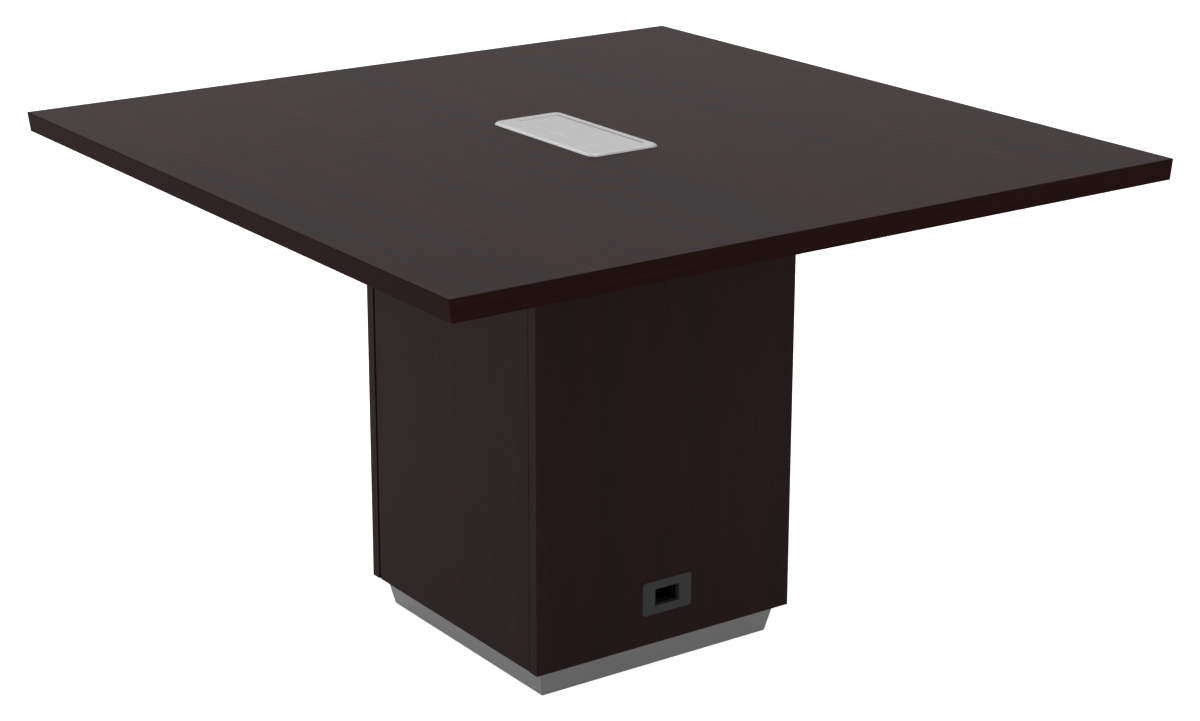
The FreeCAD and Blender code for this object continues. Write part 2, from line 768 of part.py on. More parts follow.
def module_lid():
    lid_z = (bezel_top - lid_thickness, bezel_top)
    lid = rounded(span(lid_x, lid_y, lid_z), lid_corner, Z)
    lid = lid.makeFillet(lid_rounding, edges_at(lid, Z, bezel_top))
    rib_z = (lid_z[0] - rib_depth, lid_z[0])
    for y in (lid_y[0] + rib_inset, lid_y[1] - rib_inset):
        lid = lid.fuse(span((lid_x[0] + rib_inset, lid_axis.x - rib_inset), about(y, rib_width), rib_z))
    for end, rim in zip((-1, 1), lid_y):
        outer = rim - end * ear_inset
        inner = outer - end * ear_thickness
        ear_y = (min(inner, outer), max(inner, outer))
        knuckle = rod(ear_radius, V(lid_axis.x, ear_y[0], lid_axis.z), V(lid_axis.x, ear_y[1], lid_axis.z))
        web = span(about(lid_axis.x, 2 * ear_radius), ear_y, (lid_axis.z, lid_z[0] + tiny))
        lid = lid.fuse(knuckle.fuse(web))
    lid = lid.common(span((lid_x[0], lid_x[1]), lid_y, (lid_axis.z - ear_radius, bezel_top)))
    bore = rod(lid_pin_radius + running_clearance, V(lid_axis.x, lid_y[0], lid_axis.z),
               V(lid_axis.x, lid_y[1], lid_axis.z))
    nodes["module_lid"] = lid.cut(bore).removeSplitter()


# The well under the bezel, and the upright panel of sockets along its left side

tray_wall = 1.2
tray_fit = 0.2
tray_rim_depth = 10.0    # from the table's face to the tray's rim
tray_depth = 62.0
panel_wall = 2.0
panel_top_drop = 12.0    # from the table's face to the socket panel's top
panel_back = 1.0         # from the lid's edge back to the socket panel's face
face_width = 42.0
face_end_gap = 10.0      # from the well's ends to the first and last insert
face_height = 38.0
face_proud = 1.5
face_corner = 3.0
face_rim = 0.6
body_inset = 3.0
body_depth = 16.0
pin_slot_width = 2.2
pin_slot_tall = 8.0
pin_slot_short = 6.6
pin_slot_spacing = 12.7
pin_slot_rise = 4.0
earth_radius = 2.6
earth_drop = 7.5
slot_depth = 12.0
usb_width = 13.0
usb_height = 5.6
usb_spacing = 14.0
usb_depth = 10.0
jack_width = 12.0
jack_height = 9.0
jack_spacing = 18.0
jack_notch = 4.0
jack_notch_height = 2.5
gland_radius = 8.0
gland_bore = 4.5
gland_flange_radius = 10.0
gland_flange = 3.0
gland_reach = 14.0
gland_inset = 24.0
rivet_radius = 1.6
rivet_head_radius = 3.0
rivet_head = 0.7
rivet_edge = 16.8        # from the tray's side to a rivet
clamp_width = 30.0
clamp_thickness = 2.0
clamp_foot = 26.0
clamp_drop = 26.0
clamp_screw_radius = 2.0
clamp_screw_head_radius = 4.0
clamp_screw_head = 2.5
clamp_screw_tail = 5.0
clamp_screw_spot = 16.0  # from the table's underside down to the clamp's screw


panel_face = lid_x[0] - lid_gap - panel_back


def module_tray(room_x, room_y):
    """An open-topped sheet-steel box inside the bezel's skirt."""
    x = inset(room_x, tray_fit)
    y = inset(room_y, tray_fit)
    rim = table_height - tray_rim_depth
    foot = rim - tray_depth
    room = span(inset(x, tray_wall), inset(y, tray_wall), (foot + tray_wall, rim + overrun))
    return span(x, y, (foot, rim)).cut(room), x, y, foot


def socket_face(kind):
    """One socket insert, facing +X, about its own centre, with its body behind the panel."""
    face = rounded(span((0, face_proud), about(0, face_width), about(0, face_height)), face_corner, X)
    face = face.makeFillet(face_rim, edges_at(face, X, face_proud))
    body = span((-panel_wall - body_depth, 0), about(0, face_width - 2 * body_inset),
                about(0, face_height - 2 * body_inset))
    solid = face.fuse(body).removeSplitter()
    front = face_proud + overrun
    holes = []
    if kind == "power":
        reach = (-slot_depth, front)
        for side, tall in ((-1, pin_slot_short), (1, pin_slot_tall)):
            holes.append(span(reach, about(side * pin_slot_spacing / 2, pin_slot_width),
                              about(pin_slot_rise, tall)))
        holes.append(rod(earth_radius, V(-slot_depth, 0, -earth_drop), V(front, 0, -earth_drop)))
    elif kind == "usb":
        for side in (-1, 1):
            holes.append(span((-usb_depth, front), about(0, usb_width),
                              about(side * usb_spacing / 2, usb_height)))
    else:
        for side in (-1, 1):
            y = side * jack_spacing / 2
            holes.append(span((-slot_depth, front), about(y, jack_width), about(0, jack_height)))
            holes.append(span((-slot_depth, front), about(y, jack_notch),
                              (-jack_height / 2 - jack_notch_height, 0)))
    return solid.cut(holes)


def socket_panel(tray_x, tray_y, tray_foot):
    """The panel that stands in the well, and the four inserts that face across it."""
    z = (tray_foot + tray_wall, table_height - panel_top_drop)
    face = panel_face
    room_y = inset(tray_y, tray_wall)
    plate = span((face - panel_wall, face), room_y, z)
    inserts = (("power_outlet_front", "power"), ("power_outlet_back", "power"),
               ("usb_charger", "usb"), ("data_jacks", "data"))
    first, last = inset(room_y, face_end_gap + face_width / 2)
    for i, (name, kind) in enumerate(inserts):
        centre = V(face, first + i * (last - first) / (len(inserts) - 1), (z[0] + z[1]) / 2)
        plate = plate.cut(span((face - panel_wall - overrun, face + overrun),
                               about(centre.y, face_width - 2 * body_inset),
                               about(centre.z, face_height - 2 * body_inset)))
        nodes[name] = socket_face(kind)
        nodes[name].translate(centre)
    nodes["socket_panel"] = plate


def cord_gland(tray, tray_x, tray_y, tray_foot):
    """A nylon bushing in the tray's floor behind the sockets, where the supply cord leaves."""
    behind = (tray_x[0] + tray_wall + panel_face - panel_wall) / 2
    spot = V(behind, tray_y[1] - gland_inset, tray_foot)
    profile = [(gland_bore, -gland_reach), (gland_radius, -gland_reach), (gland_radius, -gland_flange),
               (gland_flange_radius, -gland_flange), (gland_flange_radius, 0), (gland_radius, 0),
               (gland_radius, tray_wall + gland_flange), (gland_bore, tray_wall + gland_flange)]
    nodes["cord_gland"] = turned(profile, spot, Z)
    return tray.cut(rod(gland_radius, spot - Z * overrun, spot + Z * (tray_wall + overrun)))


def module_fasteners(tray, tray_x, tray_y, skirt_foot):
    """Rivets join tray and skirt, and two screwed brackets clamp the module to the top."""
    rim = table_height - tray_rim_depth
    rivets = []
    clamps = []
    screws = []
    for end in (-1, 1):
        wall = end * tray_y[1]
        outward = Y * end
        for x in inset(tray_x, rivet_edge):
            at = V(x, wall, (rim + skirt_foot) / 2)
            inner = at - outward * (tray_wall + rivet_head)
            outer = at + outward * (tray_fit + skirt_wall + rivet_head)
            shank = rod(rivet_radius, inner, outer)
            rivet = shank.fuse([rod(rivet_head_radius, inner, inner + outward * rivet_head),
                                rod(rivet_head_radius, outer - outward * rivet_head, outer)]).removeSplitter()
            rivets.append(rivet)
            hole = rod(rivet_radius, inner - outward, outer + outward)
            tray = tray.cut(hole)
            nodes["module_bezel"] = nodes["module_bezel"].cut(hole)
        leg_y = sorted((wall, wall + end * clamp_thickness))
        foot_y = sorted((wall, wall + end * clamp_foot))
        clamp_x = about(module_x, clamp_width)
        leg = span(clamp_x, leg_y, (column_top - clamp_drop, column_top))
        foot = span(clamp_x, foot_y, (column_top - clamp_thickness, column_top))
        bracket = leg.fuse(foot).removeSplitter()
        at = V(module_x, wall, column_top - clamp_screw_spot)
        head = at + outward * clamp_thickness
        tip = clamp_screw_head + clamp_thickness + clamp_screw_tail
        profile = [(0, 0), (clamp_screw_head_radius, 0), (clamp_screw_head_radius, clamp_screw_head),
                   (clamp_screw_radius, clamp_screw_head), (clamp_screw_radius, tip), (0, tip)]
        screw = turned(profile, head + outward * clamp_screw_head, -outward)
        screws.append(screw)
        clamps.append(bracket.cut(screw))
        tray = tray.cut(screw)
    nodes["module_tray"] = tray
    nodes["tray_rivets"] = group(rivets)
    nodes["module_clamps"] = group(clamps)
    nodes["clamp_screws"] = group(screws)


def power_module():
    room_x, room_y, skirt_foot = module_bezel()
    module_lid()
    tray, tray_x, tray_y, tray_foot = module_tray(room_x, room_y)
    socket_panel(tray_x, tray_y, tray_foot)
    tray = cord_gland(tray, tray_x, tray_y, tray_foot)
    module_fasteners(tray, tray_x, tray_y, skirt_foot)


# Assembly, in the order in which the table is built

table_top()
column_boards()
column_joints()
top_fixings()
access_door()
push_latch()
cable_port()
corner_blocks(plinth())
power_module()
nodes["wood_screws"] = group(wood_screws)

for name, tools in cuts.items():
    nodes[name] = nodes[name].cut(tools)

for name, shape in nodes.items():
    solids = shape.Solids
    if not shape.isValid() or not solids:
        raise ValueError(name + " isn't a valid solid")
    whole = solids[0] if len(solids) == 1 else Part.makeCompound(solids)
    whole.exportStep("parts/" + name + ".step")
    box = shape.BoundBox
    print(f"{name:22s} {len(solids):3d} solids {len(shape.Faces):4d} faces"
          f" {shape.Volume / cubic_centimetre:9.1f} cm3  x {box.XMin:.2f} {box.XMax:.2f}"
          f"  y {box.YMin:.2f} {box.YMax:.2f}  z {box.ZMin:.2f} {box.ZMax:.2f}")
print(len(nodes), "nodes")
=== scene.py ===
import json
import math

import bpy
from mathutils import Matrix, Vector


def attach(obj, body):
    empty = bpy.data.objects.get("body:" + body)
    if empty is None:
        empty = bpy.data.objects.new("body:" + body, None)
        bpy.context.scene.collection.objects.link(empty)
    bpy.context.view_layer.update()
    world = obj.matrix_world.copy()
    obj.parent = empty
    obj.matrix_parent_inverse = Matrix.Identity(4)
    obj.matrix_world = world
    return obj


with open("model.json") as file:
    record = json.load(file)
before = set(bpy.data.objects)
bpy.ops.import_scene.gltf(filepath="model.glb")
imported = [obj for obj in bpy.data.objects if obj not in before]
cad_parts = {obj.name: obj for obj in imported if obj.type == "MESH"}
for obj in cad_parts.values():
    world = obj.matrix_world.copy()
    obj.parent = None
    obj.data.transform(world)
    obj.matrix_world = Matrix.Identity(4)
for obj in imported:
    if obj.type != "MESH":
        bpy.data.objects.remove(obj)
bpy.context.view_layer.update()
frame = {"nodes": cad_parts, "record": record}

nodes = frame["nodes"]


# Plinth faces
# Four strips of aluminium sheet, mitred at the corners and glued to the plinth's rails.
# They are brushed along their length, anodised, and lean in towards the floor.

plinth_sides = {"front": "X", "right": "Y", "back": "X", "left": "Y"}
aluminium_light = "#646464"
aluminium_dark = "#5D5D5D"
brush_line_mm = 0.9          # real brush lines are finer, and are drawn this wide so that they show
brush_length_mm = 110.0
brush_depth_mm = 0.02
brushed_roughness = (0.36, 0.44)
millimetre = 0.001


def linear(colour):
    """The linear RGBA values of an sRGB hex colour."""
    values = [int(colour[i:i + 2], 16) / 255 for i in (1, 3, 5)]
    return [v / 12.92 if v <= 0.04045 else ((v + 0.055) / 1.055) ** 2.4 for v in values] + [1.0]


def add(tree, kind, inputs=None, links=None, **settings):
    """Adds one shader node, with its settings, its input values and what is linked into it."""
    made = tree.nodes.new("ShaderNode" + kind)
    for name, value in settings.items():
        setattr(made, name, value)
    for name, value in (inputs or {}).items():
        made.inputs[name].default_value = value
    for name, source in (links or {}).items():
        tree.links.new(source, made.inputs[name])
    return made


def new_material(name):
    """An empty material: the material, its node tree and the object's own coordinates in metres."""
    material = bpy.data.materials.new(name)
    material.use_nodes = True
    material.node_tree.nodes.clear()
    where = add(material.node_tree, "TexCoord").outputs["Object"]
    return material, material.node_tree, where


def noise(tree, where, size_mm, detail=2.0, stretch=(1.0, 1.0, 1.0), place=0.0):
    """Noise with spots size_mm across, or that times stretch along each axis, and finer detail in them."""
    scale = [1 / (size_mm * millimetre * share) for share in stretch]
    mapping = add(tree, "Mapping", {"Scale": scale, "Location": (place, place, place)}, {"Vector": where})
    return add(tree, "TexNoise", {"Scale": 1.0, "Detail": detail}, {"Vector": mapping.outputs[0]}).outputs[0]


def along(grain, length_mm, width_mm):
    """The stretch of a streak that is length_mm long along the grain for each width_mm across it."""
    return [length_mm / width_mm if axis == grain else 1.0 for axis in "XYZ"]


def ramp(tree, factor, *stops):
    """A colour ramp from (position, hex colour) pairs."""
    made = add(tree, "ValToRGB", links={"Fac": factor})
    elements = made.color_ramp.elements
    while len(elements) < len(stops):
        elements.new(0.5)
    for element, (position, colour) in zip(elements, stops):
        element.position = position
        element.color = linear(colour)
    return made.outputs[0]


def between(tree, factor, low, high):
    """A value that runs from low to high as factor runs from 0.3 to 0.7, where noise mostly lies."""
    limits = {"From Min": 0.3, "From Max": 0.7, "To Min": low, "To Max": high}
    return add(tree, "MapRange", limits, {"Value": factor}).outputs[0]


def surface(tree, constants, linked, height, depth_mm):
    """The principled shader on the material's output, with a bump of a real depth."""
    bump = add(tree, "Bump", {"Strength": 1.0, "Distance": depth_mm * millimetre}, {"Height": height})
    shader = add(tree, "BsdfPrincipled", constants, {**linked, "Normal": bump.outputs[0]})
    add(tree, "OutputMaterial", links={"Surface": shader.outputs[0]})


def finish_nodes(material, *names):
    """Gives the named CAD nodes one material."""
    for name in names:
        nodes[name].data.materials.clear()
        nodes[name].data.materials.append(material)


def brushed_aluminium(name, grain):
    """Anodised aluminium, brushed: a soft grey shine drawn out in fine parallel lines."""
    material, tree, where = new_material(name)
    lines = noise(tree, where, brush_line_mm, 4.0, along(grain, brush_length_mm, brush_line_mm))
    colour = ramp(tree, lines, (0.35, aluminium_dark), (0.65, aluminium_light))
    rough = between(tree, lines, *brushed_roughness)
    surface(tree, {"Metallic": 1.0}, {"Base Color": colour, "Roughness": rough}, lines, brush_depth_mm)
    return material


brushed_along = {grain: brushed_aluminium("brushed_aluminium_along_" + grain, grain) for grain in "XY"}
for side, grain in plinth_sides.items():
    finish_nodes(brushed_along[grain], "plinth_face_" + side)


# Plinth rails and corner blocks
# Mitred rails of bare particleboard behind the metal faces, with a block screwed into each corner.
# They are sawn and left unfaced, so their chips show.

chip_mm = 2.4
chip_dark = "#8A6A45"
chip_middle = "#B08D60"
chip_light = "#CBAA7C"
chip_depth_mm = 0.3
glue_mottle_mm = 60.0
glue_tint = "#C8C0B4"
glue_share = 0.5             # how much of the glue's mottle shows
first_colour = 6             # the mix node's sockets for two colours and for their mix
second_colour = 7
mixed_colour = 2


def multiplied(tree, share, colour, shade):
    """A colour multiplied by a shade, by a share of it."""
    made = add(tree, "Mix", {"Factor": share}, {first_colour: colour, second_colour: shade},
               data_type="RGBA", blend_type="MULTIPLY")
    return made.outputs[mixed_colour]


def bare_particleboard():
    """Particleboard, sawn and bare: pressed chips of many tans, dry and rough."""
    material, tree, where = new_material("bare_particleboard")
    scale = 1 / (chip_mm * millimetre)
    chips = add(tree, "TexVoronoi", {"Scale": scale, "Randomness": 1.0}, {"Vector": where})
    tone = add(tree, "SeparateColor", links={"Color": chips.outputs["Color"]}).outputs[0]
    chip_colour = ramp(tree, tone, (0.0, chip_dark), (0.5, chip_middle), (1.0, chip_light))
    mottle = ramp(tree, noise(tree, where, glue_mottle_mm), (0.3, glue_tint), (0.7, "#FFFFFF"))
    colour = multiplied(tree, glue_share, chip_colour, mottle)
    surface(tree, {"IOR": 1.5, "Roughness": 0.85, "Specular IOR Level": 0.25}, {"Base Color": colour},
            chips.outputs["Distance"], chip_depth_mm)
    return material


particleboard = bare_particleboard()
finish_nodes(particleboard, "plinth_corner_blocks", *["plinth_rail_" + side for side in plinth_sides])


# Levelling feet
# A zinc-plated steel stem with a hexagon, turned in a nut in each corner block, on a moulded nylon pad.
# The nuts and the long screws that hold the blocks are plated too.

foot_count = 4
zinc_light = "#C9CCD0"
zinc_dark = "#A3A8AE"
zinc_cloud_mm = 6.0
nylon_colour = "#1D1D1E"
nylon_worn = "#262627"
metal_roughness_spread = 0.06
moulded_roughness_spread = 0.05
handled_share = 40           # handled patches are this many times wider than a moulded grain
fine_bump_mm = 0.01          # the depth of a finish that is nearly smooth


def metal(name, dark, light, cloud_mm, roughness):
    """A bare or plated metal with faint clouds in its colour and gloss."""
    material, tree, where = new_material(name)
    clouds = noise(tree, where, cloud_mm, detail=3.0)
    rough = between(tree, clouds, roughness - metal_roughness_spread, roughness + metal_roughness_spread)
    surface(tree, {"Metallic": 1.0},
            {"Base Color": ramp(tree, clouds, (0.35, dark), (0.65, light)), "Roughness": rough},
            clouds, fine_bump_mm)
    return material


def moulded(name, colour, worn, ior, roughness, grain_mm, grain_depth_mm, gloss=0.5):
    """A moulded plastic: one colour with a fine etched grain, a little paler where it is handled."""
    material, tree, where = new_material(name)
    grain = noise(tree, where, grain_mm)
    patches = noise(tree, where, handled_share * grain_mm)
    rough = between(tree, grain, roughness - moulded_roughness_spread, roughness + moulded_roughness_spread)
    surface(tree, {"IOR": ior, "Specular IOR Level": gloss},
            {"Base Color": ramp(tree, patches, (0.35, colour), (0.75, worn)), "Roughness": rough},
            grain, grain_depth_mm)
    return material


zinc_plated = metal("zinc_plated_steel", zinc_dark, zinc_light, zinc_cloud_mm, roughness=0.38)
moulded_nylon = moulded("moulded_nylon", nylon_colour, nylon_worn, ior=1.53, roughness=0.5,
                        grain_mm=0.6, grain_depth_mm=0.01)
for i in range(foot_count):
    finish_nodes(zinc_plated, f"foot_stem_{i + 1}")
    finish_nodes(moulded_nylon, f"foot_pad_{i + 1}")
finish_nodes(zinc_plated, "foot_nuts", "plinth_screws")


# Column boards
# Particleboard faced with melamine laminate, printed with a dark espresso wood grain.
# The grain runs upright on the outer boards and along the longer side of the flat ones.

espresso_dark = "#201819"
espresso_brown = "#241818"
espresso_red = "#281818"
band_mm = 46.0               # width of the broad tones of the veneer that the print copies
band_length_mm = 1500.0
streak_mm = 7.0
streak_length_mm = 420.0
streak_share = 0.42          # how much of the tone is streak, and the rest is band
tone_spread = 0.12           # a smaller spread gives stronger tones
pore_mm = 1.1                # real pores are near 0.3 mm, and are drawn this wide so that they show
pore_length_mm = 34.0
wander_mm = 320.0            # over this length the grain leaves its line and comes back
wander_share = 0.016
pore_shade = "#EFEDED"
laminate_roughness = 0.46
laminate_gloss = 0.029
upright_place = 3.1          # where in the print a board is cut, so that no two show the same part
flat_place = 7.7


def espresso_laminate(name, grain, place, gloss=laminate_gloss, share=streak_share, spread=tone_spread):
    """Melamine laminate with an espresso print: nearly black brown, low even sheen, faint red streaks."""
    material, tree, where = new_material(name)
    drift = noise(tree, where, wander_mm, 1.0, along(grain, 2.0, 1.0), place)
    shifted = add(tree, "VectorMath", {1: (0.5, 0.5, 0.5)}, {0: drift}, operation="SUBTRACT")
    amount = add(tree, "VectorMath", {"Scale": wander_share}, {0: shifted.outputs[0]}, operation="SCALE")
    bent = add(tree, "VectorMath", links={0: where, 1: amount.outputs[0]}, operation="ADD").outputs[0]
    bands = noise(tree, bent, band_mm, 2.0, along(grain, band_length_mm, band_mm), place)
    streaks = noise(tree, bent, streak_mm, 3.0, along(grain, streak_length_mm, streak_mm), place)
    pores = noise(tree, bent, pore_mm, 2.0, along(grain, pore_length_mm, pore_mm), place)
    mixed = add(tree, "Mix", {"Factor": share}, {"A": bands, "B": streaks}).outputs[0]
    tone = ramp(tree, mixed, (0.5 - spread, espresso_dark), (0.5, espresso_brown),
                (0.5 + spread, espresso_red))
    printed = multiplied(tree, 1.0, tone, ramp(tree, pores, (0.34, pore_shade), (0.48, "#FFFFFF")))
    rough = between(tree, pores, laminate_roughness + 0.03, laminate_roughness - 0.01)
    surface(tree, {"IOR": 1.5, "Specular IOR Level": gloss}, {"Base Color": printed, "Roughness": rough},
            pores, fine_bump_mm)
    return material


upright_laminate = espresso_laminate("espresso_laminate_upright", "Z", upright_place)
flat_laminate = espresso_laminate("espresso_laminate_flat", "Y", flat_place)
finish_nodes(upright_laminate, "front_panel", "back_panel", "closed_side_panel", "door_stop_strip")
finish_nodes(flat_laminate, "bottom_panel", "door_side_rail", "closed_side_rail")


# Knock-down joints
# Die-cast zinc cams pull plated bolts, and a pressed beech dowel beside each keeps the boards in line.
# All of them sit in bores in the boards.

beech_light = "#D6B283"
beech_dark = "#BF9767"
beech_fleck_mm = 1.2
beech_fleck_length_mm = 9.0
beech_fleck_depth_mm = 0.05
cam_dark = "#8F9296"
cam_light = "#ABAEB2"


def bare_beech():
    """Beech, turned and bare: pale, with short darker flecks along the dowel."""
    material, tree, where = new_material("bare_beech")
    flecks = noise(tree, where, beech_fleck_mm, 3.0, along("Y", beech_fleck_length_mm, beech_fleck_mm))
    surface(tree, {"IOR": 1.5, "Roughness": 0.7, "Specular IOR Level": 0.3},
            {"Base Color": ramp(tree, flecks, (0.35, beech_dark), (0.6, beech_light))},
            flecks, beech_fleck_depth_mm)
    return material


finish_nodes(metal("die_cast_zinc", cam_dark, cam_light, cloud_mm=3.0, roughness=0.45), "cam_locks")
finish_nodes(zinc_plated, "cam_bolts")
finish_nodes(bare_beech(), "wood_dowels")


# Access door and its hinges
# A laminate board between two pivots: steel leaves let into the boards, steel pins and nylon bushes.
# A steel plate near its top edge meets the push latch.

steel_light = "#A9ABAD"
steel_dark = "#8A8C8E"

mild_steel = metal("rolled_steel", steel_dark, steel_light, cloud_mm=8.0, roughness=0.34)
finish_nodes(upright_laminate, "access_door")
finish_nodes(moulded_nylon, "door_bushes")
finish_nodes(mild_steel, "pivot_leaves", "pivot_pins", "door_strike_plate")


# Push latch
# A grey acetal housing under the rail, with a sprung plunger in a paler grey that the door presses in.
# Small plated wood screws hold the housing, and the leaves of the door's pivots.

latch_grey = "#76777A"
latch_grey_worn = "#818285"
plunger_grey = "#A5A6A8"
plunger_grey_worn = "#B0B1B3"

finish_nodes(moulded("grey_acetal", latch_grey, latch_grey_worn, ior=1.48, roughness=0.42,
                     grain_mm=0.5, grain_depth_mm=0.01), "push_latch_body")
finish_nodes(moulded("pale_acetal", plunger_grey, plunger_grey_worn, ior=1.48, roughness=0.4,
                     grain_mm=0.5, grain_depth_mm=0.01), "push_latch_plunger")
finish_nodes(zinc_plated, "wood_screws")


# Cable port
# A moulded ABS bezel with a fine matt texture, held by a ring and two screws behind the panel.
# The ring is the same plastic.

port_grey = "#2E2F2F"
port_grey_worn = "#313232"

port_plastic = moulded("matt_grey_abs", port_grey, port_grey_worn, ior=1.54, roughness=0.55,
                       grain_mm=0.7, grain_depth_mm=0.02, gloss=0.12)
finish_nodes(port_plastic, "port_bezel", "port_back_ring")
finish_nodes(zinc_plated, "port_screws")


# Table top and its edge bands
# The core is faced with a harder laminate of the same print, a little less shiny, its grain along Y.
# Extruded plastic bands, printed to match and a little redder, are glued on its edges.

top_place = 0.0
top_gloss = 0.026
top_streak_share = 0.28      # its broad tones show more than on the column's boards
top_tone_spread = 0.095
band_dark = "#1F100F"
band_brown = "#211110"
band_red = "#241312"
edge_streak_mm = 3.5
edge_streak_length_mm = 260.0
band_gloss = 0.007
band_roughness = (0.38, 0.46)


def edge_band(name, grain):
    """Printed plastic edge band: satin, with fine streaks along the edge."""
    material, tree, where = new_material(name)
    streaks = noise(tree, where, edge_streak_mm, 4.0, along(grain, edge_streak_length_mm, edge_streak_mm))
    tone = ramp(tree, streaks, (0.36, band_dark), (0.5, band_brown), (0.64, band_red))
    rough = between(tree, streaks, *band_roughness)
    surface(tree, {"IOR": 1.53, "Specular IOR Level": band_gloss}, {"Base Color": tone, "Roughness": rough},
            streaks, fine_bump_mm)
    return material


top_laminate = espresso_laminate("espresso_laminate_top", "Y", top_place, top_gloss,
                                 top_streak_share, top_tone_spread)
finish_nodes(top_laminate, "top_panel")
finish_nodes(edge_band("espresso_band_along_Y", "Y"), "edge_band_left", "edge_band_right")
finish_nodes(edge_band("espresso_band_along_X", "X"), "edge_band_front", "edge_band_back")


# Top fixings
# Steel machine bolts with low heads go up through the rails into turned brass inserts.
# The bolts are plain and the inserts are pressed into the core.

brass_dark = "#A9894C"
brass_light = "#C7A766"

finish_nodes(mild_steel, "top_bolts")
finish_nodes(metal("turned_brass", brass_dark, brass_light, cloud_mm=2.0, roughness=0.3), "top_inserts")


# Power module's bezel and lid
# Two zinc castings, sprayed with a metallic silver lacquer, with steel pins between them.
# The lacquer's flakes give an even satin shine that follows the light.

silver_light = "#A5A5A5"
silver_dark = "#A1A1A1"
lacquer_grain_mm = 0.9       # real flakes are far smaller, and are drawn so that they show
lacquer_patch_mm = 54.0
lacquer_metallic = 0.7       # the clear coat over the flakes takes the rest
lacquer_gloss = 0.1
lacquer_roughness = (0.52, 0.6)


def silver_lacquer():
    """Metallic lacquer on a casting: satin silver with a slight orange peel."""
    material, tree, where = new_material("silver_lacquer")
    peel = noise(tree, where, lacquer_grain_mm, detail=3.0)
    patches = noise(tree, where, lacquer_patch_mm)
    surface(tree, {"Metallic": lacquer_metallic, "IOR": 1.5, "Specular IOR Level": lacquer_gloss},
            {"Base Color": ramp(tree, patches, (0.3, silver_dark), (0.7, silver_light)),
             "Roughness": between(tree, peel, *lacquer_roughness)}, peel, fine_bump_mm)
    return material


finish_nodes(silver_lacquer(), "module_bezel", "module_lid")
finish_nodes(mild_steel, "lid_pins")


# Well with its sockets
# A folded steel tray and an upright panel, powder coated black, riveted inside the bezel's skirt.
# The socket inserts are moulded polycarbonate and the cord leaves through a nylon gland.

coat_black = "#181819"
coat_black_worn = "#1E1E1F"
insert_black = "#1A1A1C"
insert_black_worn = "#202022"
rivet_dark = "#9B9DA0"
rivet_light = "#B9BBBE"

powder_coat = moulded("black_powder_coat", coat_black, coat_black_worn, ior=1.5, roughness=0.5,
                      grain_mm=0.8, grain_depth_mm=0.02, gloss=0.4)
polycarbonate = moulded("black_polycarbonate", insert_black, insert_black_worn, ior=1.585, roughness=0.32,
                        grain_mm=0.5, grain_depth_mm=0.005)
finish_nodes(powder_coat, "module_tray", "socket_panel")
finish_nodes(polycarbonate, "power_outlet_front", "power_outlet_back", "usb_charger", "data_jacks")
finish_nodes(moulded_nylon, "cord_gland")
finish_nodes(metal("aluminium_rivet", rivet_dark, rivet_light, cloud_mm=1.5, roughness=0.35), "tray_rivets")
finish_nodes(mild_steel, "module_clamps")
finish_nodes(zinc_plated, "clamp_screws")


# Charging ports and network jacks
# A nickel-plated shell lines each charging port, round a moulded tongue with four gold-plated leaves.
# Each network jack has eight gold-plated wires that slope down to meet its plug.

openings = {opening["name"]: opening["box_m"] for opening in frame["record"]["physics"]["openings"]}
charging_ports = [openings["usb_port_" + place] for place in ("lower", "upper")]
network_jacks = [openings["data_jack_" + place] for place in ("front", "back")]
front_clearance = 1.4 * millimetre   # from an opening's box, which stands out of the insert, back to its face
shell_thickness = 0.3 * millimetre
shell_outset = 0.15 * millimetre     # from an opening's box out to the shell's outside
shell_corner = 0.7 * millimetre
corner_steps = 4
tongue_width = 10.6 * millimetre
tongue_thickness = 1.8 * millimetre
tongue_drop = 0.9 * millimetre       # from the top of the opening's box to the tongue
tongue_setback = 1.2 * millimetre
leaf_count = 4
leaf_spacing = 2.2 * millimetre
leaf_width = 1.1 * millimetre
leaf_thickness = 0.15 * millimetre
leaf_setback = 1.0 * millimetre
wire_count = 8
wire_spacing = 1.02 * millimetre
wire_width = 0.36 * millimetre
wire_path_mm = ((1.2, 0.3), (2.2, 0.9), (10.2, 3.6), (11.6, 3.3))   # back from the face, and down
shell_dark = "#A9A7A2"
shell_light = "#C4C2BD"
tongue_white = "#BDBDB8"
tongue_white_worn = "#C6C6C1"
gold_dark = "#B8913F"
gold_light = "#D2AD5C"


def on_table(name, bodies, material):
    """One piece of several closed bodies, each a list of points and a list of faces, fixed in the table."""
    points, faces = [], []
    for own_points, own_faces in bodies:
        faces += [[len(points) + i for i in face] for face in own_faces]
        points += own_points
    mesh = bpy.data.meshes.new(name)
    mesh.from_pydata(points, [], faces)
    mesh.materials.append(material)
    piece = bpy.data.objects.new(name, mesh)
    bpy.context.scene.collection.objects.link(piece)
    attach(piece, "table")


def joined(loops, closed):
    """Points and faces of a skin through loops of the same length, closed round or capped at its ends."""
    size = len(loops[0])
    steps = len(loops) if closed else len(loops) - 1
    faces = []
    for i in range(steps):
        near, far = i * size, (i + 1) % len(loops) * size
        faces += [[near + k, near + (k + 1) % size, far + (k + 1) % size, far + k] for k in range(size)]
    if not closed:
        faces += [list(range(size))[::-1], [(len(loops) - 1) * size + k for k in range(size)]]
    return [point for loop in loops for point in loop], faces


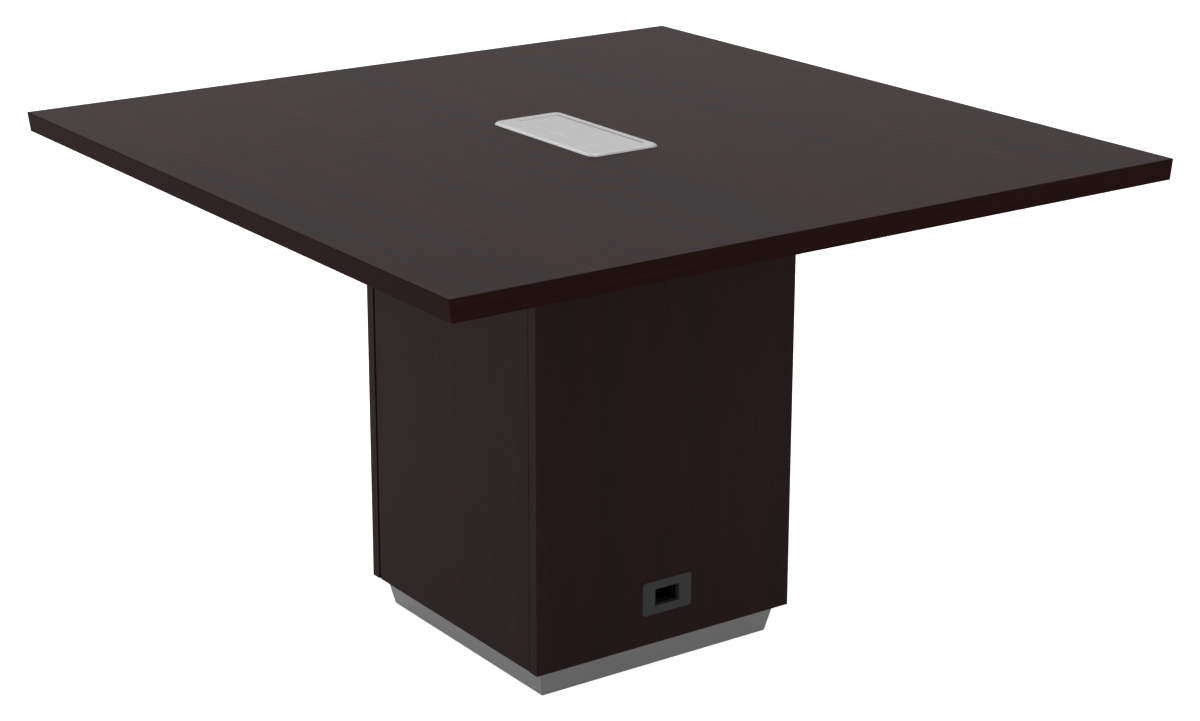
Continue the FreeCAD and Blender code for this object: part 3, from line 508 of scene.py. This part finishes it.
def bent_strip(path, y, width, thickness):
    """A flat strip that follows a path of x and z, seen from its front end to its back end."""
    loops = []
    for i, (x, z) in enumerate(path):
        before, after = path[max(i - 1, 0)], path[min(i + 1, len(path) - 1)]
        run = Vector((after[0] - before[0], after[1] - before[1])).normalized()
        lift = (-run.y * thickness / 2, run.x * thickness / 2)
        loops.append([(x + side * lift[0], y + end * width / 2, z + side * lift[1])
                      for side, end in ((1, -1), (1, 1), (-1, 1), (-1, -1))])
    return joined(loops, False)


def rounded_loop(low, high, corner, x):
    """A rectangle with rounded corners in the YZ plane at x, between its low and high corners."""
    loop = []
    corners = (high[0], high[1]), (low[0], high[1]), (low[0], low[1]), (high[0], low[1])
    for quarter, (y, z) in enumerate(corners):
        centre = (y - math.copysign(corner, y - (low[0] + high[0]) / 2),
                  z - math.copysign(corner, z - (low[1] + high[1]) / 2))
        for step in range(corner_steps + 1):
            turn = (quarter + step / corner_steps) * math.pi / 2
            loop.append((x, centre[0] + corner * math.cos(turn), centre[1] + corner * math.sin(turn)))
    return loop


def grown(low, high, margin):
    """A rectangle's low and high corners, moved out by a margin."""
    return [value - margin for value in low], [value + margin for value in high]


shells, tongues, leaves, wires = [], [], [], []
for low, high in charging_ports:
    front = high[0] - front_clearance
    outer = grown(low[1:], high[1:], shell_outset)
    inner = grown(*outer, -shell_thickness)
    outside = [rounded_loop(*outer, shell_corner, x) for x in (low[0], front)]
    inside = [rounded_loop(*inner, shell_corner - shell_thickness, x) for x in (front, low[0])]
    shells.append(joined(outside + inside, True))
    middle = (low[1] + high[1]) / 2
    tongue_top = high[2] - tongue_drop
    tongue_z = tongue_top - tongue_thickness / 2
    tongues.append(bent_strip([(front - tongue_setback, tongue_z), (low[0], tongue_z)],
                              middle, tongue_width, tongue_thickness))
    leaf_z = tongue_top - tongue_thickness - leaf_thickness / 2
    for i in range(leaf_count):
        y = middle + (i - (leaf_count - 1) / 2) * leaf_spacing
        leaves.append(bent_strip([(front - tongue_setback - leaf_setback, leaf_z), (low[0], leaf_z)],
                                 y, leaf_width, leaf_thickness))
for low, high in network_jacks:
    front = high[0] - front_clearance
    path = [(front - back * millimetre, high[2] - down * millimetre) for back, down in wire_path_mm]
    for i in range(wire_count):
        y = (low[1] + high[1]) / 2 + (i - (wire_count - 1) / 2) * wire_spacing
        wires.append(bent_strip(path, y, wire_width, wire_width))

gold = metal("gold_plated_contact", gold_dark, gold_light, cloud_mm=2.0, roughness=0.28)
nickel = metal("nickel_plated_shell", shell_dark, shell_light, cloud_mm=3.0, roughness=0.3)
polyamide = moulded("white_polyamide", tongue_white, tongue_white_worn, ior=1.53, roughness=0.45,
                    grain_mm=0.4, grain_depth_mm=0.005)
on_table("charging_port_shells", shells, nickel)
on_table("charging_port_tongues", tongues, polyamide)
on_table("charging_port_leaves", leaves, gold)
on_table("network_jack_wires", wires, gold)


# Studio
# A pale floor and a white surround. One wide soft lamp hangs overhead and one is high behind the table,
# and a low one faces each side of the column that the camera sees.
# The camera has the photograph's viewing angle and framing.

floor_radius = 30.0
floor_sides = 64
floor_colour = "#D4D4D4"
floor_glow = 0.81            # what the floor adds for the camera, so that it reads as white
fill_strength = 0.7          # the surround's light on the object
lamps = {                    # each lamp's place and target, its width in metres and its power in watts
    "overhead_lamp": ((0.7, 0.3, 4.8), (0, 0, 0.7), 2.6, 91),
    "back_lamp": ((-0.85, 4.0, 3.66), (0, 0, 0.76), 1.2, 60),
    "left_lamp": ((-4.5, -0.8, 1.2), (0, 0, 0.6), 2.5, 34),
    "front_lamp": ((-0.4, -4.8, 1.2), (0, 0, 0.6), 2.5, 34),
}
image_width = 1200
image_height = 721
sensor_width = 36.0
camera_place = (-2.1442, -3.0765, 1.6436)
camera_turn = (73.212, 0.168, -34.244)   # in degrees
camera_lens = 79.042
principal_x = 547.54         # where the camera's axis meets the image, in pixels
principal_y = 298.11


def seen_directly(tree):
    """One where the camera, a glossy ray or a transmitted ray looks, and zero elsewhere."""
    rays = add(tree, "LightPath").outputs
    seen = rays["Is Camera Ray"]
    for kind in ("Is Glossy Ray", "Is Transmission Ray"):
        seen = add(tree, "Math", links={0: seen, 1: rays[kind]}, operation="ADD").outputs[0]
    return add(tree, "Math", {1: 1.0}, {0: seen}, operation="MINIMUM").outputs[0]


def pale_floor():
    """A matt pale floor that keeps the table's shadow and reads as white."""
    material, tree, _ = new_material("pale_floor")
    matt = add(tree, "BsdfDiffuse", {"Color": linear(floor_colour)})
    strength = add(tree, "Math", {1: floor_glow}, {0: seen_directly(tree)}, operation="MULTIPLY")
    glow = add(tree, "Emission", {"Color": (1, 1, 1, 1)}, {"Strength": strength.outputs[0]})
    both = add(tree, "AddShader", links={0: matt.outputs[0], 1: glow.outputs[0]})
    add(tree, "OutputMaterial", links={"Surface": both.outputs[0]})
    return material


turns = [2 * math.pi * i / floor_sides for i in range(floor_sides)]
floor_mesh = bpy.data.meshes.new("floor")
floor_mesh.from_pydata([(floor_radius * math.cos(t), floor_radius * math.sin(t), 0) for t in turns], [],
                       [range(floor_sides)])
floor_mesh.materials.append(pale_floor())
floor = bpy.data.objects.new("floor", floor_mesh)
bpy.context.scene.collection.objects.link(floor)

world = bpy.data.worlds.new("white_surround")
bpy.context.scene.world = world
world.use_nodes = True
world.node_tree.nodes.clear()
level = add(world.node_tree, "MapRange", {"To Min": fill_strength, "To Max": 1.0},
            {"Value": seen_directly(world.node_tree)})
sky = add(world.node_tree, "Background", {"Color": (1, 1, 1, 1)}, {"Strength": level.outputs[0]})
add(world.node_tree, "OutputWorld", links={"Surface": sky.outputs[0]})

for name, (place, target, width, power) in lamps.items():
    light = bpy.data.lights.new(name, "AREA")
    light.shape = "SQUARE"
    light.size = width
    light.energy = power
    lamp = bpy.data.objects.new(name, light)
    lamp.location = place
    lamp.rotation_euler = (Vector(target) - Vector(place)).to_track_quat("-Z", "Y").to_euler()
    bpy.context.scene.collection.objects.link(lamp)

camera_data = bpy.data.cameras.new("camera")
camera_data.sensor_fit = "HORIZONTAL"
camera_data.sensor_width = sensor_width
camera_data.lens = camera_lens
camera_data.shift_x = (image_width / 2 - principal_x) / image_width
camera_data.shift_y = (principal_y - image_height / 2) / image_width
camera = bpy.data.objects.new("camera", camera_data)
camera.location = camera_place
camera.rotation_euler = [math.radians(angle) for angle in camera_turn]
bpy.context.scene.collection.objects.link(camera)
bpy.context.scene.camera = camera
bpy.context.scene.view_settings.view_transform = "Standard"
